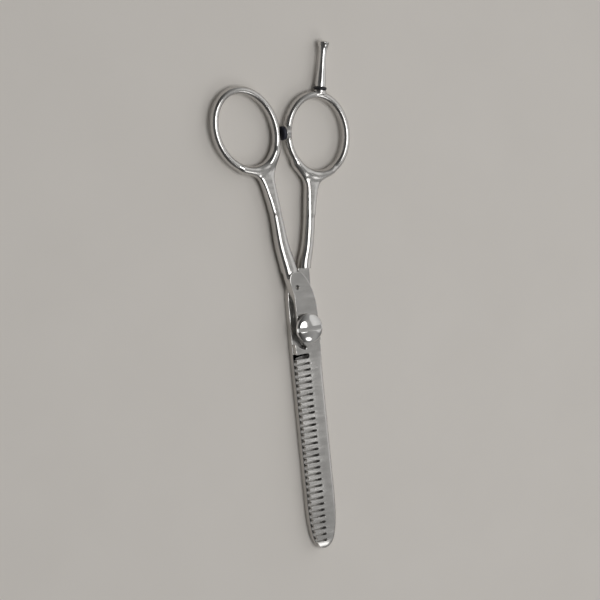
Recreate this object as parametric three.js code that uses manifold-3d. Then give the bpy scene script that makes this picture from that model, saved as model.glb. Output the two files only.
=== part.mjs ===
// Thinning shears of the six inch class, closed and lying flat.
// Millimetres, +Z up. The origin is on the pivot axis at the flat underside of the lower half.
// +Y runs from the pivot to the finger rings, the blade tips point to -Y, and the thumb ring is at -X.
// The upper half carries the toothed comb blade, the lower half the plain cutting blade.
import * as THREE from 'three';
import { mergeVertices } from 'three/addons/utils/BufferGeometryUtils.js';
import Module from 'manifold-3d';

const wasm = await Module();
wasm.setup();

// Layers, as heights above the rest face.
const PARTING_Z = 2.5;
const FACE_GAP = 0.1;                     // each half stays this far from the parting plane
const LOWER_TOP_Z = PARTING_Z - FACE_GAP;
const UPPER_BOTTOM_Z = PARTING_Z + FACE_GAP;
const HUB_TOP_Z = 5.0;
const COMB_TOP_Z = 4.4;
const FAR = 200;                          // larger than anything, for cutting tools
const ABOVE_Z = 9;                        // cutting tools start over every piece
const BELOW_Z = -1;                       // and end under every piece

// Blades.
const TIP = { x: -0.3, y: -72.2 };
const SPINE_X = 4.8;                      // half width of the closed blades
const SPINE_END_Y = -52;                  // from here the outline curves in to the tip
const TOOTH_COUNT = 30;
const TOOTH_PITCH = 2.0;
const TOOTH_WIDTH = 1.2;
const TOOTH_ROOT_X = 0.2;
const FIRST_GAP = { top: -8.2, bottom: -9.8 };
const TOOTH_TIP_THICKNESS = 1.3;
const TOOTH_TIP_SETBACK = 0.3;            // tooth tips stop short of the outline on their side
const CUTTING_EDGE = { heelX: 3.6, heelY: -10.5, endX: 1.6, endY: -66 };
const CUTTING_EDGE_THICKNESS = 0.35;
const BEVEL_START_X = -1.6;               // the outer bevel of the cutting blade begins here
const SLOPE_START = 1.0;                  // the teeth slope from this far into the spine

// Hub and neck.
const HUB_STEP_R = 6.4;                   // the thick hub ends on this circle round the pivot
const NECK_STEP_R = 19.2;                 // beyond this circle each neck is full height
const DIMPLE = { x: -2.1, y: 13.5, r: 0.7, depth: 1.7 };
const POCKET = { outerX: -4.75, innerX: 0.35, bottom: 0.7 };  // hollow under the first gap

// Pivot: radii of the stack on the pivot axis.
const POST_R = 2.25;
const POST_FLANGE = { r: 3.7, flat: 3.1, top: 0.9 };
const POST_NECK = { r: 2.2, flat: 1.85, bottom: 4.7, top: 5.7 };
const THREAD_R = 1.5;
const THREAD_BOTTOM_Z = 1.3;
const RUNNING_CLEARANCE = 0.06;
const SNUG_FIT = 0.05;
const LOOSE_FIT = 0.1;
const OVERLAP = 0.1;                      // joined solids reach this far into each other
const BUSH_R = 2.85;
const SLIP_WASHER = { r: 3.2, bottom: 2.12, top: 2.52 };
const THRUST_WASHER = { r: 3.3, bottom: 5.04, top: 5.34 };
const CLICK_WASHER = { r: 4.2, bottom: 5.39, top: 5.73, rise: 0.12 };
const SCREW_HEAD = { r: 4.75, bottom: 5.8, rimTop: 6.6, top: 7.9, bevel: 0.2 };
const SCREW_SLOT = { width: 1.2, bottom: 6.65 };

// Rings: centreline ellipses of the two bars.
const BAR = { width: 1.3, height: 1.6 };
const WEB_HALF_HEIGHT = 1.23;
const THUMB_RING = { x: -13.9, y: 65.5, short: 10.5, long: 13.4, tilt: 24 };
const FINGER_RING = { x: 12.1, y: 60.9, short: 10.8, long: 12.8, tilt: 5 };

// Bumper between the rings, on an axis along X.
const BUMPER = { y: 62.9, r: 2.3, face: -1.2, seat: -0.04 };
const BUMPER_STUD = { r: 0.8, inner: 2.3, outer: -0.5 };
const BUMPER_PAD = { r: 2.4, depth: 1.6 };

// Finger rest, on a radial axis of the finger ring.
const REST_ANGLE = 11.5;                  // degrees from +Y towards +X
const REST = { studR: 0.95, studEnd: 12.3, base: 15.35, end: 30.1 };
const REST_BOSS = { r: 2.05, bottom: 12.9, top: 14.2 };
const REST_WASHER = { r: 2.1, bottom: 14.25, top: 15.3 };

// Mesh finish.
const SECTION_SIDES = 14;
const RING_STEPS = 44;
const ROUND_STEPS = 32;

const steel = { color: 0xb9b7b4, roughness: 0.22, metalness: 1.0 };
const polishedSteel = { color: 0xd8d6d3, roughness: 0.1, metalness: 1.0 };
const bronze = { color: 0x9c7a48, roughness: 0.4, metalness: 1.0 };
const nylon = { color: 0xe6e2d8, roughness: 0.5, metalness: 0.0 };
const blackRubber = { color: 0x15161c, roughness: 0.7, metalness: 0.0 };

// ---- solids ----

function toSolid(geometry) {
  const bare = geometry.clone();
  bare.deleteAttribute('normal');
  bare.deleteAttribute('uv');
  const merged = mergeVertices(bare, 1e-5);
  return new wasm.Manifold(new wasm.Mesh({
    numProp: 3,
    vertProperties: new Float32Array(merged.attributes.position.array),
    triVerts: new Uint32Array(merged.index.array),
  }));
}

function toGeometry(solid) {
  const mesh = solid.getMesh();
  const geometry = new THREE.BufferGeometry();
  geometry.setAttribute('position', new THREE.BufferAttribute(mesh.vertProperties, 3));
  geometry.setIndex(new THREE.BufferAttribute(mesh.triVerts, 1));
  geometry.computeVertexNormals();
  return geometry;
}

// A flat outline raised between two heights.
function plate(shape, bottom, top) {
  const options = { depth: top - bottom, bevelEnabled: false, curveSegments: 12 };
  const geometry = new THREE.ExtrudeGeometry(shape, options);
  geometry.translate(0, 0, bottom);
  return toSolid(geometry);
}

function outline(points) {
  return new THREE.Shape(points.map(([x, y]) => new THREE.Vector2(x, y)));
}

// An outline in the XZ plane carried along Y.
function prismAlongY(points, fromY, toY) {
  const geometry = new THREE.ExtrudeGeometry(outline(points), { depth: toY - fromY, bevelEnabled: false });
  geometry.rotateX(Math.PI / 2);
  geometry.translate(0, toY, 0);
  return toSolid(geometry);
}

function disc(radius, bottom, top, x = 0, y = 0) {
  const geometry = new THREE.CylinderGeometry(radius, radius, top - bottom, ROUND_STEPS);
  geometry.rotateX(Math.PI / 2);
  geometry.translate(x, y, (bottom + top) / 2);
  return toSolid(geometry);
}

// A disc with two parallel flats, for keyed pieces.
function keyedDisc(radius, flat, bottom, top) {
  const band = new THREE.BoxGeometry(FAR, 2 * flat, top - bottom);
  band.translate(0, 0, (bottom + top) / 2);
  return disc(radius, bottom, top).intersect(toSolid(band));
}

// A turned solid about Z from [radius, height] pairs.
function turned(profile) {
  const points = profile.map(([radius, height]) => new THREE.Vector2(radius, height));
  const geometry = new THREE.LatheGeometry(points, ROUND_STEPS);
  geometry.rotateX(Math.PI / 2);
  return toSolid(geometry);
}

function tube(inner, outer, bottom, top) {
  return turned([[inner, bottom], [outer, bottom], [outer, top], [inner, top], [inner, bottom]]);
}

// ---- bars: sections of rounded outline carried through stations in the XY plane ----

// Each station is { x, y, width, height }, half sizes; the section stands square to the path.
function bar(stations, closed, squareness) {
  const vertices = [];
  const triangles = [];
  const count = stations.length;
  stations.forEach((station, index) => {
    const before = stations[closed ? (index + count - 1) % count : Math.max(index - 1, 0)];
    const after = stations[closed ? (index + 1) % count : Math.min(index + 1, count - 1)];
    const heading = Math.atan2(after.y - before.y, after.x - before.x);
    for (let side = 0; side < SECTION_SIDES; side += 1) {
      const angle = (2 * Math.PI * side) / SECTION_SIDES;
      const across = station.width * rounded(Math.cos(angle), squareness);
      const up = station.height * rounded(Math.sin(angle), squareness);
      vertices.push(
        station.x + across * Math.sin(heading),
        station.y - across * Math.cos(heading),
        PARTING_Z + up,
      );
    }
  });
  const lastJoint = closed ? count : count - 1;
  for (let index = 0; index < lastJoint; index += 1) {
    const here = index * SECTION_SIDES;
    const next = ((index + 1) % count) * SECTION_SIDES;
    for (let side = 0; side < SECTION_SIDES; side += 1) {
      const turn = (side + 1) % SECTION_SIDES;
      triangles.push(here + side, next + side, next + turn);
      triangles.push(here + side, next + turn, here + turn);
    }
  }
  if (!closed) {
    const last = (count - 1) * SECTION_SIDES;
    for (let side = 1; side < SECTION_SIDES - 1; side += 1) {
      triangles.push(0, side, side + 1);
      triangles.push(last, last + side + 1, last + side);
    }
  }
  const geometry = new THREE.BufferGeometry();
  geometry.setAttribute('position', new THREE.Float32BufferAttribute(vertices, 3));
  geometry.setIndex(triangles);
  return toSolid(geometry);
}

function rounded(value, squareness) {
  return Math.sign(value) * Math.abs(value) ** (2 / squareness);
}

// The point of a ring's centreline at an angle from its short axis, and the same for a ring grown by some.
function ringPoint(ring, angle, grow = 0) {
  const tilt = THREE.MathUtils.degToRad(ring.tilt);
  const across = (ring.short + grow) * Math.cos(angle);
  const along = (ring.long + grow) * Math.sin(angle);
  return {
    x: ring.x + across * Math.cos(tilt) - along * Math.sin(tilt),
    y: ring.y + across * Math.sin(tilt) + along * Math.cos(tilt),
  };
}

function ringBar(ring) {
  const stations = [];
  for (let step = 0; step < RING_STEPS; step += 1) {
    stations.push({ ...ringPoint(ring, (2 * Math.PI * step) / RING_STEPS), ...BAR });
  }
  return bar(stations, true, 2.2);
}

// A smooth shank through a few hand-placed stations.
function shank(stations) {
  const middle = new THREE.CatmullRomCurve3(stations.map(([x, y]) => new THREE.Vector3(x, y, 0)));
  const sizes = new THREE.CatmullRomCurve3(stations.map(([, , w, h]) => new THREE.Vector3(w, h, 0)));
  const steps = 3 * (stations.length - 1);
  const fine = [];
  for (let step = 0; step <= steps; step += 1) {
    const place = middle.getPoint(step / steps);
    const size = sizes.getPoint(step / steps);
    fine.push({ x: place.x, y: place.y, width: size.x, height: size.y });
  }
  return bar(fine, false, 2.8);
}

// The Y-shaped web where a shank spreads into its ring.
function web(points) {
  const [shankLeft, ringLeft, ringRight, shankRight] = points;
  const shape = new THREE.Shape();
  shape.moveTo(...shankLeft.at);
  shape.quadraticCurveTo(...shankLeft.bend, ...ringLeft);
  shape.lineTo(...ringRight);
  shape.quadraticCurveTo(...shankRight.bend, ...shankRight.at);
  return plate(shape, PARTING_Z - WEB_HALF_HEIGHT, PARTING_Z + WEB_HALF_HEIGHT);
}

// ---- the upper half ----

function tipSide(sign) {
  const knee = new THREE.Vector2(sign * SPINE_X, SPINE_END_Y);
  const near = new THREE.Vector2(sign * SPINE_X, SPINE_END_Y - 10);
  const far = new THREE.Vector2(TIP.x + sign * 4.8, TIP.y + 0.2);
  return new THREE.CubicBezierCurve(knee, near, far, new THREE.Vector2(TIP.x, TIP.y));
}

// How far the closed outline reaches on one side at a height along the blade.
function spineAt(y, sign) {
  if (y >= SPINE_END_Y) return sign * SPINE_X;
  const points = tipSide(sign).getPoints(60);
  const index = points.findIndex((point) => point.y <= y);
  const [a, b] = [points[index - 1], points[index]];
  return a.x + ((b.x - a.x) * (y - a.y)) / (b.y - a.y);
}

function toothTipAt(y) {
  return spineAt(y, -1) + TOOTH_TIP_SETBACK;
}

function combOutline() {
  const points = [[0.6, 17.9], [1.8, 16.0], [3.0, 13.4], [3.9, 10.6], [4.4, 7.0], [4.6, -2], [SPINE_X, -10]];
  tipSide(1).getPoints(14).forEach((point) => points.push([point.x, point.y]));
  const noseY = FIRST_GAP.bottom - TOOTH_COUNT * TOOTH_PITCH;
  tipSide(-1).getPoints(14).reverse().forEach((point) => {
    if (point.y < noseY && point.y > TIP.y) points.push([point.x, point.y]);
  });
  for (let tooth = TOOTH_COUNT; tooth > 0; tooth -= 1) {
    const gapBottom = FIRST_GAP.bottom - tooth * TOOTH_PITCH;
    const gapTop = gapBottom + TOOTH_PITCH - TOOTH_WIDTH;
    const toothTop = gapTop + TOOTH_WIDTH;
    points.push([toothTipAt(gapBottom), gapBottom], [TOOTH_ROOT_X, gapBottom]);
    points.push([TOOTH_ROOT_X, gapTop], [toothTipAt(gapTop), gapTop]);
    if (tooth === 1) points.push([toothTipAt(toothTop), toothTop]);
  }
  points.push([TOOTH_ROOT_X, FIRST_GAP.bottom], [TOOTH_ROOT_X, FIRST_GAP.top], [-4.5, FIRST_GAP.top]);
  // The sickle-shaped relief under the screw and the slim left side of the hub.
  points.push([-4.7, -5.2], [-4.45, -4.7], [-3.4, -5.7], [-1.9, -6.6], [-1.0, -6.7], [-0.8, -6.1]);
  points.push([-1.7, -4.9], [-2.7, -3.1], [-3.2, -1.0], [-3.35, 1.4], [-3.4, 6.2], [-3.55, 11.6]);
  points.push([-4.5, 15.2], [-3.5, 18.0], [-1.5, 18.4]);
  return outline(points);
}

function hubStepCutter() {
  const shape = new THREE.Shape();
  shape.moveTo(-FAR, -FAR);
  shape.lineTo(FAR, -FAR);
  shape.lineTo(FAR, 0);
  shape.lineTo(HUB_STEP_R, 0);
  shape.absarc(0, 0, HUB_STEP_R, 0, -Math.PI, true);
  shape.lineTo(-FAR, 0);
  return plate(shape, COMB_TOP_Z, ABOVE_Z);
}

function toothBevel() {
  const slopeX = TOOTH_ROOT_X + SLOPE_START;
  const tipZ = UPPER_BOTTOM_Z + TOOTH_TIP_THICKNESS;
  const points = [[slopeX, COMB_TOP_Z], [-SPINE_X, tipZ], [-FAR, tipZ], [-FAR, ABOVE_Z], [slopeX, ABOVE_Z]];
  return prismAlongY(points, -FAR, FIRST_GAP.top);
}

function combHalf() {
  const neck = shank([
    [-0.9, 8.0, 1.7, 2.4], [-2.5, 15.0, 2.4, 2.4], [-3.3, 20.0, 2.5, 2.3], [-4.9, 27.5, 2.15, 2.1],
    [-5.7, 35.0, 1.85, 1.95], [-6.3, 40.0, 1.7, 1.85], [-7.4, 45.5, 1.65, 1.75], [-9.1, 51.9, 1.05, 1.3],
  ]);
  const spread = web([
    { at: [-8.2, 42.5], bend: [-9.6, 49.6] }, [-16.4, 53.0], [-4.9, 55.4],
    { at: [-5.0, 42.5], bend: [-6.4, 50.6] },
  ]);
  return plate(combOutline(), UPPER_BOTTOM_Z, HUB_TOP_Z)
    .subtract(hubStepCutter())
    .subtract(toothBevel())
    .add(neck)
    .add(spread)
    .add(ringBar(THUMB_RING))
    .subtract(disc(NECK_STEP_R, BELOW_Z, UPPER_BOTTOM_Z))
    .subtract(disc(BUSH_R + RUNNING_CLEARANCE, BELOW_Z, ABOVE_Z))
    .subtract(disc(DIMPLE.r, HUB_TOP_Z - DIMPLE.depth, ABOVE_Z, DIMPLE.x, DIMPLE.y));
}

// ---- the lower half ----

function cuttingOutline() {
  const points = [[-1.6, 18.1], [-3.2, 16.2], [-4.2, 13.0], [-4.5, 8.5], [-4.7, -2], [-SPINE_X, -10]];
  tipSide(-1).getPoints(14).forEach((point) => points.push([point.x, point.y]));
  points.push([0.9, TIP.y + 2.2], [CUTTING_EDGE.endX, CUTTING_EDGE.endY]);
  points.push([CUTTING_EDGE.heelX, CUTTING_EDGE.heelY], [4.4, -8.6], [4.6, -6.6], [4.6, -2], [4.4, 7]);
  points.push([4.3, 17.4], [2.6, 18.3], [0.5, 18.4]);
  return outline(points);
}

function edgeBevel() {
  const edgeZ = LOWER_TOP_Z - CUTTING_EDGE_THICKNESS;
  const points = [[BEVEL_START_X, 0], [CUTTING_EDGE.heelX, edgeZ], [FAR, edgeZ], [FAR, BELOW_Z]];
  points.push([BEVEL_START_X, BELOW_Z]);
  return prismAlongY(points, -FAR, CUTTING_EDGE.heelY + 1);
}

// A hollow under the comb's first gap, falling towards the root of the teeth.
function firstGapPocket() {
  const { outerX, innerX, bottom } = POCKET;
  const points = [[outerX, LOWER_TOP_Z], [innerX, bottom], [innerX, ABOVE_Z], [outerX, ABOVE_Z]];
  return prismAlongY(points, FIRST_GAP.bottom - OVERLAP, FIRST_GAP.top + OVERLAP);
}

function onRestAxis(geometry) {
  geometry.rotateZ(THREE.MathUtils.degToRad(-REST_ANGLE));
  geometry.translate(FINGER_RING.x, FINGER_RING.y, PARTING_Z);
  return geometry;
}

function restBoss() {
  const geometry = new THREE.CylinderGeometry(REST_BOSS.r, REST_BOSS.r, REST_BOSS.top - REST_BOSS.bottom, 24);
  geometry.translate(0, (REST_BOSS.top + REST_BOSS.bottom) / 2, 0);
  return toSolid(onRestAxis(geometry));
}

function restHole() {
  const radius = REST.studR + RUNNING_CLEARANCE;
  const depth = REST_BOSS.top - REST.studEnd + 1;
  const geometry = new THREE.CylinderGeometry(radius, radius, depth, 24);
  geometry.translate(0, REST.studEnd - 0.3 + depth / 2, 0);
  return toSolid(onRestAxis(geometry));
}

function rodAlongX(radius, from, to) {
  const geometry = new THREE.CylinderGeometry(radius, radius, to - from, 24);
  geometry.rotateZ(Math.PI / 2);
  geometry.translate((from + to) / 2, BUMPER.y, PARTING_Z);
  return toSolid(geometry);
}

function cuttingHalf() {
  const neck = shank([
    [1.4, 8.0, 1.9, 2.4], [2.0, 15.0, 2.1, 2.4], [2.8, 20.5, 2.05, 2.3], [4.5, 26.0, 1.9, 2.1],
    [5.95, 33.2, 1.85, 1.95], [7.0, 40.8, 1.75, 1.85], [8.2, 45.5, 1.65, 1.75], [9.4, 48.8, 1.05, 1.3],
  ]);
  const spread = web([
    { at: [5.1, 39.5], bend: [6.6, 46.6] }, [3.6, 51.6], [15.4, 48.5],
    { at: [8.8, 39.5], bend: [9.8, 45.8] },
  ]);
  return plate(cuttingOutline(), 0, LOWER_TOP_Z)
    .subtract(edgeBevel())
    .subtract(firstGapPocket())
    .add(neck)
    .add(spread)
    .add(ringBar(FINGER_RING))
    .add(rodAlongX(BUMPER_PAD.r, BUMPER.seat, BUMPER.seat + BUMPER_PAD.depth))
    .add(restBoss())
    .subtract(disc(NECK_STEP_R, LOWER_TOP_Z, ABOVE_Z))
    .subtract(disc(POST_R + RUNNING_CLEARANCE, BELOW_Z, ABOVE_Z))
    .subtract(keyedDisc(POST_FLANGE.r + SNUG_FIT, POST_FLANGE.flat + SNUG_FIT, BELOW_Z, POST_FLANGE.top + 0.03))
    .subtract(disc(SLIP_WASHER.r + LOOSE_FIT, SLIP_WASHER.bottom - 0.03, ABOVE_Z))
    .subtract(rodAlongX(BUMPER_STUD.r + RUNNING_CLEARANCE, BUMPER.face, BUMPER_STUD.inner + LOOSE_FIT))
    .subtract(restHole());
}

// ---- the pivot ----

function pivotPost() {
  return keyedDisc(POST_FLANGE.r, POST_FLANGE.flat, 0, POST_FLANGE.top)
    .add(disc(POST_R, POST_FLANGE.top - OVERLAP, POST_NECK.bottom))
    .add(keyedDisc(POST_NECK.r, POST_NECK.flat, POST_NECK.bottom - OVERLAP, POST_NECK.top))
    .subtract(disc(THREAD_R + RUNNING_CLEARANCE, THREAD_BOTTOM_Z, ABOVE_Z));
}

function washer({ r, bottom, top }) {
  return tube(POST_R + LOOSE_FIT, r, bottom, top);
}

function clickWasher() {
  const { r, bottom, top, rise } = CLICK_WASHER;
  const dish = turned([
    [0, bottom + rise], [POST_NECK.r, bottom + rise], [r, bottom], [r, top - rise], [POST_NECK.r, top], [0, top],
  ]);
  const hole = { r: POST_NECK.r + RUNNING_CLEARANCE, flat: POST_NECK.flat + RUNNING_CLEARANCE };
  return dish.subtract(keyedDisc(hole.r, hole.flat, BELOW_Z, ABOVE_Z));
}

function tensionScrew() {
  const { r, bottom, rimTop, top, bevel } = SCREW_HEAD;
  const profile = [[0, THREAD_BOTTOM_Z + 0.2], [THREAD_R, THREAD_BOTTOM_Z + 0.2], [THREAD_R, bottom]];
  profile.push([r - bevel, bottom], [r, bottom + bevel], [r, rimTop]);
  const domeSteps = 7;
  for (let step = 1; step <= domeSteps; step += 1) {
    const angle = (step / domeSteps) * (Math.PI / 2);
    profile.push([step === domeSteps ? 0 : r * Math.cos(angle), rimTop + (top - rimTop) * Math.sin(angle)]);
  }
  const slot = new THREE.BoxGeometry(4 * r, SCREW_SLOT.width, 4);
  slot.translate(0, 0, SCREW_SLOT.bottom + 2);
  return turned(profile).subtract(toSolid(slot));
}

// ---- bumper and finger rest ----

function ringBumper() {
  const edge = 0.35;
  const { r, face, seat } = BUMPER;
  const geometry = new THREE.LatheGeometry([
    new THREE.Vector2(0, face), new THREE.Vector2(r - edge, face), new THREE.Vector2(r, face + edge),
    new THREE.Vector2(r, seat - SNUG_FIT), new THREE.Vector2(0, seat - SNUG_FIT),
  ], ROUND_STEPS);
  geometry.rotateZ(-Math.PI / 2);
  geometry.translate(0, BUMPER.y, PARTING_Z);
  const hole = rodAlongX(BUMPER_STUD.r + SNUG_FIT, BUMPER_STUD.outer - SNUG_FIT, BUMPER_STUD.inner);
  return toSolid(geometry).subtract(hole);
}

function restProfile() {
  const profile = [[0, REST.studEnd], [REST.studR, REST.studEnd], [REST.studR, REST.base]];
  const body = new THREE.SplineCurve([
    new THREE.Vector2(1.8, REST.base), new THREE.Vector2(1.7, 17.6), new THREE.Vector2(1.35, 21.5),
    new THREE.Vector2(1.2, 25.0), new THREE.Vector2(1.5, 27.8), new THREE.Vector2(2.0, 29.4),
  ]);
  body.getPoints(14).forEach((point) => profile.push([point.x, point.y]));
  profile.push([1.85, 29.9], [1.2, REST.end], [0, REST.end]);
  return profile.map(([radius, height]) => new THREE.Vector2(radius, height));
}

function restWasher() {
  const { r, bottom, top } = REST_WASHER;
  const inner = REST.studR + RUNNING_CLEARANCE;
  const soft = 0.3;
  return new THREE.LatheGeometry([
    new THREE.Vector2(inner, bottom), new THREE.Vector2(r - soft, bottom), new THREE.Vector2(r, bottom + soft),
    new THREE.Vector2(r, top - soft), new THREE.Vector2(r - soft, top), new THREE.Vector2(inner, top),
    new THREE.Vector2(inner, bottom),
  ], 24);
}

// ---- the assembly ----

function named(name, geometry, finish) {
  const mesh = new THREE.Mesh(geometry, new THREE.MeshStandardMaterial(finish));
  mesh.name = name;
  return mesh;
}

function piece(name, solid, finish) {
  return named(name, toGeometry(solid), finish);
}

const combAssembly = new THREE.Group();
combAssembly.add(
  piece('comb_blade', combHalf(), steel),
  piece('bearing_bush', tube(POST_R + RUNNING_CLEARANCE, BUSH_R, UPPER_BOTTOM_Z, HUB_TOP_Z - 0.02), bronze),
);

const pivotAssembly = new THREE.Group();
pivotAssembly.add(
  piece('pivot_post', pivotPost(), steel),
  piece('slip_washer', washer(SLIP_WASHER), nylon),
  piece('thrust_washer', washer(THRUST_WASHER), bronze),
  piece('click_washer', clickWasher(), steel),
  piece('tension_screw', tensionScrew(), polishedSteel),
);

const restAssembly = new THREE.Group();
restAssembly.position.set(FINGER_RING.x, FINGER_RING.y, PARTING_Z);
restAssembly.rotation.z = THREE.MathUtils.degToRad(-REST_ANGLE);
restAssembly.add(
  named('finger_rest', new THREE.LatheGeometry(restProfile(), 24), polishedSteel),
  named('finger_rest_washer', restWasher(), blackRubber),
);

const shears = new THREE.Group();
shears.add(
  combAssembly,
  piece('cutting_blade', cuttingHalf(), steel),
  pivotAssembly,
  piece('ring_bumper', ringBumper(), blackRubber),
  piece('bumper_stud', rodAlongX(BUMPER_STUD.r, BUMPER_STUD.outer, BUMPER_STUD.inner), steel),
  restAssembly,
);

export default shears;
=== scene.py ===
"""Thinning shears, closed and lying flat: the looks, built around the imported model.

Shapes are worked out in millimetres in the model's own frame and stored in metres. The pivot axis is Z
through the origin, +Y runs to the finger rings, and the two halves meet on the plane z = PARTING.
Handles, hubs, screw and post are smooth implicit solids turned into meshes, the blades are lofts, and
washers, stud, bumper and finger rest are turned from profiles.
"""
import math

import bpy
import numpy as np
from mathutils import Matrix, Vector


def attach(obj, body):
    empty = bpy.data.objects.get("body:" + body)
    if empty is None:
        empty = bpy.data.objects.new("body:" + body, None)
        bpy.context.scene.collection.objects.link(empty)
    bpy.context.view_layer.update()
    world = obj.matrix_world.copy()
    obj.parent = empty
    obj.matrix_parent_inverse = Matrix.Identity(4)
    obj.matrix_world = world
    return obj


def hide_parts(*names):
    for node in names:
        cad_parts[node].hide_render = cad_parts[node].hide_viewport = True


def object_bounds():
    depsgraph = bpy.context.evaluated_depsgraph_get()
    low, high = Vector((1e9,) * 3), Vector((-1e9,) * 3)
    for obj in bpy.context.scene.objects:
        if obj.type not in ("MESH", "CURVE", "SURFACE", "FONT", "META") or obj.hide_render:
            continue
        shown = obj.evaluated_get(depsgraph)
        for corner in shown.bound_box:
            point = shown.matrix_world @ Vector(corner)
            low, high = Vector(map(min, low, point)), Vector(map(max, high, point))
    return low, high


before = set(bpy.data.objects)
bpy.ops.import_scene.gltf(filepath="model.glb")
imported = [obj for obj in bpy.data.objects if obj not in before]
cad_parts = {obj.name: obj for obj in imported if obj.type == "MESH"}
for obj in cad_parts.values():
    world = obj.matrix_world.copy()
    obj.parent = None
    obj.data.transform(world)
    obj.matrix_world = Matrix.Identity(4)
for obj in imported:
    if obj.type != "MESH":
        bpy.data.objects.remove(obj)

cad_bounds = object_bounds()

MM = 0.001
PARTING = 2.5
FACE_GAP = 0.1
LOWER_TOP = PARTING - FACE_GAP
UPPER_BOTTOM = PARTING + FACE_GAP

HUB_TOP = 5.0
COMB_TOP = 4.4
HUB_STEP_R = 6.4
NECK_STEP_R = 19.2

SPINE_X = 4.8
SPINE_END_Y = -52.0
TIP = (-0.3, -72.2)
NOSE_CURVE = {"along": 10.0, "across": 4.8, "above": 0.2}
NOSE_LENGTH = 3.2
NOSE_FALL = 1.1
BLADE_DROOP = 0.35
TOOTH_COUNT = 30
TOOTH_PITCH = 2.0
TOOTH_WIDTH = 1.2
TOOTH_ROOT_X = 0.2
TOOTH_SETBACK = 0.3
TOOTH_SLOPE = 12.0
TOOTH_TIP_THICKNESS = 0.45
FIRST_GAP = (-9.8, -8.2)
BEVEL = {"width": 5.2, "bulge": 0.14, "lip": 0.35}
INNER_HOLLOW = 0.05
EDGE_BREAK = 0.1
HEEL_BREAK = 0.25
TUCK = 0.01

BUSH_BORE_R = 2.91
POST_BORE_R = 2.31
COUNTERBORE = {"r": 3.3, "floor": 2.09}
FLANGE_SEAT = {"r": 3.75, "flat": 3.15, "top": 0.93}
THRUST_WASHER = {"inner": 2.35, "outer": 3.3, "bottom": 5.04, "top": 5.34, "edge": 0.05}
BUSH = {"inner": 2.31, "outer": 2.85, "bottom": UPPER_BOTTOM, "top": 4.98, "edge": 0.08}
SLIP_WASHER = {"inner": 2.35, "outer": 3.2, "bottom": 2.12, "top": 2.52, "edge": 0.06}
SCREW = {"r": 4.75, "bottom": 5.8, "rim": 6.55, "dome": 1.35, "slot": 0.6, "slot_floor": 6.72,
         "stem_r": 1.5, "stem_top": 6.5, "stem_end": 1.5}
DIMPLE = {"x": -2.1, "y": 13.5, "r": 0.7, "depth": 1.7}
BUMPER_Y = 62.9

BAR_WIDTH = 1.28
BAR_HEIGHT = 1.6
THUMB_RING = {"x": -13.9, "y": 65.5, "short": 10.5, "long": 13.4, "tilt": 24.0}
FINGER_RING = {"x": 12.1, "y": 60.9, "short": 10.8, "long": 12.8, "tilt": 5.0}
REST_ANGLE = 11.5
REST_WASHER = {"inner": 1.01, "outer": 2.1, "bottom": 14.25, "top": 15.3, "edge": 0.3}


# ---- smooth implicit solids: negative inside, in millimetres ----

def smooth_min(a, b, k):
    """Two solids joined, with a fillet about k wide."""
    h = np.clip(0.5 + 0.5 * (b - a) / k, 0.0, 1.0)
    return b * (1.0 - h) + a * h - k * h * (1.0 - h)


def smooth_max(a, b, k):
    """What two solids share, with its edges rounded about k wide."""
    return -smooth_min(-a, -b, k)


def catmull(points, steps):
    """A smooth curve through points of any width, a few samples to each span."""
    points = np.asarray(points, float)
    samples = []
    for span in range(len(points) - 1):
        p1, p2 = points[span], points[span + 1]
        p0 = points[span - 1] if span else 2 * p1 - p2
        p3 = points[span + 2] if span + 2 < len(points) else 2 * p2 - p1
        for step in range(steps):
            t = step / steps
            samples.append(0.5 * (2 * p1 + (p2 - p0) * t + (2 * p0 - 5 * p1 + 4 * p2 - p3) * t ** 2
                                  + (3 * p1 - p0 - 3 * p2 + p3) * t ** 3))
    samples.append(points[-1])
    return np.array(samples)


def along_path(x, y, path):
    """Distance in plan to a path of [x, y, half width, half height], and the sizes there."""
    best = np.full(np.broadcast(x, y).shape, np.inf)
    width = np.zeros_like(best)
    height = np.zeros_like(best)
    for a, b in zip(path[:-1], path[1:]):
        dx, dy = b[0] - a[0], b[1] - a[1]
        t = np.clip(((x - a[0]) * dx + (y - a[1]) * dy) / (dx * dx + dy * dy), 0.0, 1.0)
        squared = (x - a[0] - t * dx) ** 2 + (y - a[1] - t * dy) ** 2
        closer = squared < best
        best = np.where(closer, squared, best)
        width = np.where(closer, a[2] + (b[2] - a[2]) * t, width)
        height = np.where(closer, a[3] + (b[3] - a[3]) * t, height)
    return np.sqrt(best), width, height


def bar_section(distance, z, width, height, squareness):
    """A rounded bar's section: half sizes across its path and up and down from the parting plane."""
    across = (np.abs(distance) / width) ** squareness
    up = (np.abs(z - PARTING) / height) ** squareness
    return ((across + up) ** (1.0 / squareness) - 1.0) * np.minimum(width, height)


def bar_field(x, y, z, path, squareness):
    """A rounded bar along a path in plan."""
    distance, width, height = along_path(x, y, path)
    return bar_section(distance, z, width, height, squareness)


def polygon_field(x, y, corners):
    """Signed plan distance to a closed outline."""
    shape = np.broadcast(x, y).shape
    squared = np.full(shape, np.inf)
    sign = np.ones(shape)
    for a, b in zip(corners, np.roll(corners, -1, axis=0)):
        ex, ey = b - a
        wx, wy = x - a[0], y - a[1]
        t = np.clip((wx * ex + wy * ey) / (ex * ex + ey * ey), 0.0, 1.0)
        squared = np.minimum(squared, (wx - ex * t) ** 2 + (wy - ey * t) ** 2)
        rising, below, left = y >= a[1], y < b[1], ex * wy > ey * wx
        crossing = (rising & below & left) | (~rising & ~below & ~left)
        sign = np.where(crossing, -sign, sign)
    return sign * np.sqrt(squared)


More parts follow.
